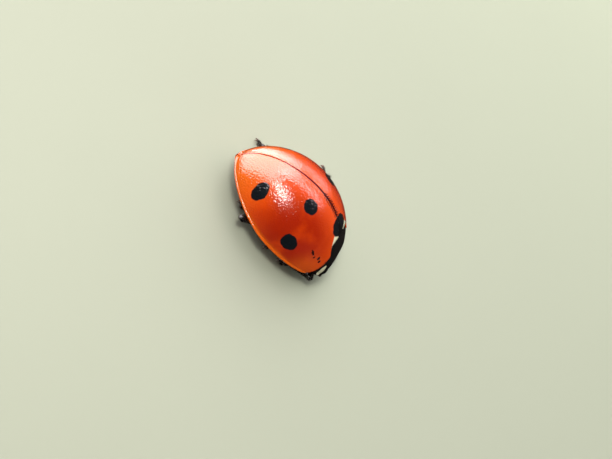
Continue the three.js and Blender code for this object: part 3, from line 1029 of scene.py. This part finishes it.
class LADYBIRD_OT_legs(LadybirdOperator, bpy.types.Operator):
    """Make the six legs"""

    bl_idname = "ladybird.legs"
    bl_label = "Legs"

    thigh_shape = [(0, 0.6), (0.5, 1.1), (0.85, 0.95), (1, 0.6)]
    shin_shape = [(0, 0.62), (0.1, 0.75), (0.7, 1.0), (0.95, 1.15), (1, 1.0)]
    claw_shape = [(0, 0.032), (0.5, 0.022), (1, 0.006)]
    spur_shape = [(0, 0.02), (1, 0.004)]
    # Hairs of a thigh, of a shin and of each part of a foot: how many, and how long.
    thigh_hairs, shin_hairs, toe_hairs = (160, 0.09), (260, 0.11), (70, 0.08)

    def foot(self, ankle, toe):
        """Two lobed joints with a flat sole, then a slim claw joint that arches up between them."""
        ground = toe.z - TOE_HEIGHT
        ahead = (toe - ankle) * Vector((1, 1, 0))
        side = ahead.normalized().cross(Vector((0, 0, 1)))

        def at(share, height, off=0.0):
            spot = ankle + ahead * share + side * off
            return Vector((spot.x, spot.y, ground + height))

        lobe = [(0, 0.05), (0.7, 0.075), (1, 0.05)]
        skins = [
            limb_skin(at(0.02, 0.2), at(0.5, 0.075), [(0, 0.05), (0.7, 0.085), (1, 0.07)], 0.8, cap=0.2),
            limb_skin(at(0.4, 0.085, 0.02), at(0.8, 0.05, 0.09), lobe, 0.66, cap=0.3),
            limb_skin(at(0.4, 0.085, -0.02), at(0.8, 0.05, -0.09), lobe, 0.66, cap=0.3),
            limb_skin(at(0.55, 0.1), at(1.0, 0.12), [(0, 0.04), (1, 0.05)], bow=0.03),
        ]
        bm = join(*[roll(16, 14, skin) for skin in skins])
        for vert in bm.verts:
            vert.co.z = max(vert.co.z, ground)
        claws = []
        for sign in (1, -1):
            root, tip = at(0.97, 0.125, sign * 0.025), at(1.2, 0.03, sign * 0.075)
            claws.append(limb(root, tip, self.claw_shape, 10, 12, bow=0.04))
        return bm, skins, join(*claws)

    def spurs(self, knee, ankle, toe):
        """Two thin spurs at the end of a shin."""
        for aside in (0.05, -0.05):
            tip = ankle.lerp(toe, 0.2) + Vector((0, aside, -0.02))
            yield limb(knee.lerp(ankle, 0.98), tip, self.spur_shape, 8, 6)

    def make(self, sizes, colours):
        chitin = limb_chitin(colours)
        brown = feeler_chitin(colours)
        down = pale_setae(colours)
        thigh, shin = sizes.femur / MM, sizes.tibia / MM
        for name, points in LEGS.items():
            hip, knee, ankle, toe = [Vector(point) for point in points]
            coxa = ball(hip, (0.33, 0.26, 0.2), 32, 20)
            trochanter = limb(hip.lerp(knee, 0.1), hip.lerp(knee, 0.26), [(0, 0.13), (1, 0.13)], cap=0.4)
            add_piece(f"coxa_plate_{name}", join(coxa, trochanter), chitin, "leg", f"coxa_{name}")
            thigh_end, shin_end = hip.lerp(knee, 1.06), knee.lerp(ankle, 1.06)
            femur = limb_skin(hip.lerp(knee, 0.2), thigh_end, scaled(self.thigh_shape, thigh), 0.8)
            add_piece(f"thigh_{name}", roll(28, 28, femur), chitin, "leg", f"femur_{name}")
            tibia = limb_skin(knee, shin_end, scaled(self.shin_shape, shin), 0.85, bow=0.03)
            spurred = join(roll(20, 28, tibia), *self.spurs(knee, ankle, toe))
            add_piece(f"shin_{name}", spurred, chitin, "leg", f"tibia_{name}")
            foot, toe_skins, claws = self.foot(ankle, toe)
            add_piece(f"toes_{name}", foot, chitin, "leg", f"foot_{name}")
            add_piece(f"claws_{name}", claws, brown, "leg")
            coat = new_coat()
            grow_hairs(coat, femur, *self.thigh_hairs, ((0.0, 0.0), 0.45), f"thigh {name}")
            grow_hairs(coat, tibia, *self.shin_hairs, ((0.5, 0.0), 0.45), f"shin {name}")
            for i, skin in enumerate(toe_skins):
                grow_hairs(coat, skin, *self.toe_hairs, ((0.25 * i, 0.5), 0.22), f"toe {i} {name}")
            for vert in coat.verts:
                vert.co.z = max(vert.co.z, toe.z - TOE_HEIGHT + 0.004)
            add_piece(f"hairs_{name}", coat, down, "leg")


class LADYBIRD_OT_stage(LadybirdOperator, bpy.types.Operator):
    """Make the floor, the lights and the camera"""

    bl_idname = "ladybird.stage"
    bl_label = "Floor, lights and camera"

    # Directions towards the viewer and up the picture, in the frame's axes.
    view = Vector((-0.70355, 0.28556, 0.65075))
    up = Vector((0.61774, 0.69842, 0.36139))
    target = Vector((0.171, 0.778, RIM_Z - 0.157))
    distance = 200.0
    picture_width = 27.96  # across at the target
    floor_half = 400
    lit_point = (0, 2.5, 1.5)
    lamp_distance = 60
    room_light = 0.04

    # The direction to each light, its width and height, its radiance and colour, and what it lights.
    lamps = {
        "window": ((0.47, 0.80, 0.37), (116, 116), 8.0, "#FFEFF1", "sheen"),
        "fill": ((0.20, 0.80, 0.60), (160, 160), 1.12, "#FFFFFF", "colour"),
        "front fill": ((0.80, -0.28, 0.53), (120, 120), 0.95, "#FFFFFF", "colour"),
        "far fill": ((0.96, -0.05, 0.26), (120, 56), 2.4, "#FBFFF0", "colour"),
        "shoulder fill": ((-0.42, -0.87, 0.26), (60, 30), 1.5, "#FFFFFF", "colour"),
        "near strip": ((0.37, 0.05, 0.93), (72, 6), 12.5, "#FFEFF1", "sheen"),
        "far strip": ((0.90, -0.12, 0.40), (40, 6), 6.0, "#FFEFF1", "sheen"),
        "key": ((-0.40, 0.37, 0.83), (17, 16), 26.0, "#FFFDF6", "both"),
    }

    def lamp(self, name, towards, extent, radiance, colour, lights):
        light = bpy.data.lights.new(name, "AREA")
        light.shape = "RECTANGLE"
        light.size, light.size_y = extent[0] * MM, extent[1] * MM
        light.energy = radiance * math.pi * light.size * light.size_y
        light.color = linear(colour)[:3]
        holder = bpy.data.objects.new(name, light)
        bpy.context.scene.collection.objects.link(holder)
        holder.visible_camera = False
        holder.visible_diffuse = lights != "sheen"
        holder.visible_glossy = lights != "colour"
        towards = Vector(towards).normalized()
        holder.location = to_frame(self.lit_point) + towards * self.lamp_distance * MM
        holder.rotation_euler = towards.to_track_quat("Z", "Y").to_euler()

    def make(self, sizes, colours):
        bm = bmesh.new()
        bmesh.ops.create_grid(bm, x_segments=8, y_segments=8, size=self.floor_half)
        mesh = bpy.data.meshes.new("studio_floor")
        for vert in bm.verts:
            vert.co *= MM
        bm.to_mesh(mesh)
        bm.free()
        mesh.materials.append(matt_studio_floor(colours))
        floor = bpy.data.objects.new("studio_floor", mesh)
        bpy.context.scene.collection.objects.link(floor)
        floor.visible_glossy = False

        for name, settings in self.lamps.items():
            self.lamp(name, *settings)

        world = bpy.data.worlds.new("studio")
        world.use_nodes = True
        background = world.node_tree.nodes["Background"]
        background.inputs["Color"].default_value = linear("#FFE6D2")
        background.inputs["Strength"].default_value = self.room_light
        bpy.context.scene.world = world
        bpy.context.scene.view_settings.view_transform = "Standard"

        camera = bpy.data.cameras.new("camera")
        camera.sensor_width = 36
        camera.lens = camera.sensor_width * self.distance / self.picture_width
        camera.clip_start, camera.clip_end = 10 * MM, 2000 * MM
        holder = bpy.data.objects.new("camera", camera)
        bpy.context.scene.collection.objects.link(holder)
        right = self.up.cross(self.view)
        turn = Matrix((right, self.up, self.view)).transposed().to_4x4()
        place = to_frame(self.target) + self.view * self.distance * MM
        holder.matrix_world = Matrix.Translation(place) @ turn
        bpy.context.scene.camera = holder


class LADYBIRD_PT_panel(bpy.types.Panel):
    """Lists the ladybird's pieces in the sidebar"""

    bl_idname = "LADYBIRD_PT_panel"
    bl_label = "Ladybird"
    bl_space_type = "VIEW_3D"
    bl_region_type = "UI"
    bl_category = "Ladybird"

    def draw(self, context):
        column = self.layout.column()
        for group in (context.scene.ladybird_sizes, context.scene.ladybird_colours):
            for name in group.__annotations__:
                column.prop(group, name)
        for operator in OPERATORS:
            column.operator(operator.bl_idname)


OPERATORS = (
    LADYBIRD_OT_wing_cases,
    LADYBIRD_OT_shield,
    LADYBIRD_OT_head,
    LADYBIRD_OT_eyes,
    LADYBIRD_OT_feelers,
    LADYBIRD_OT_trunk,
    LADYBIRD_OT_legs,
    LADYBIRD_OT_stage,
)
CLASSES = (LadybirdSizes, LadybirdColours, *OPERATORS, LADYBIRD_PT_panel)


def register():
    for cls in CLASSES:
        bpy.utils.register_class(cls)
    bpy.types.Scene.ladybird_sizes = PointerProperty(type=LadybirdSizes)
    bpy.types.Scene.ladybird_colours = PointerProperty(type=LadybirdColours)


def unregister():
    del bpy.types.Scene.ladybird_colours
    del bpy.types.Scene.ladybird_sizes
    for cls in reversed(CLASSES):
        bpy.utils.unregister_class(cls)


def main():
    register()
    for operator in OPERATORS:
        name = operator.bl_idname.split(".")[1]
        getattr(bpy.ops.ladybird, name)()


if __name__ == "__main__":
    main()
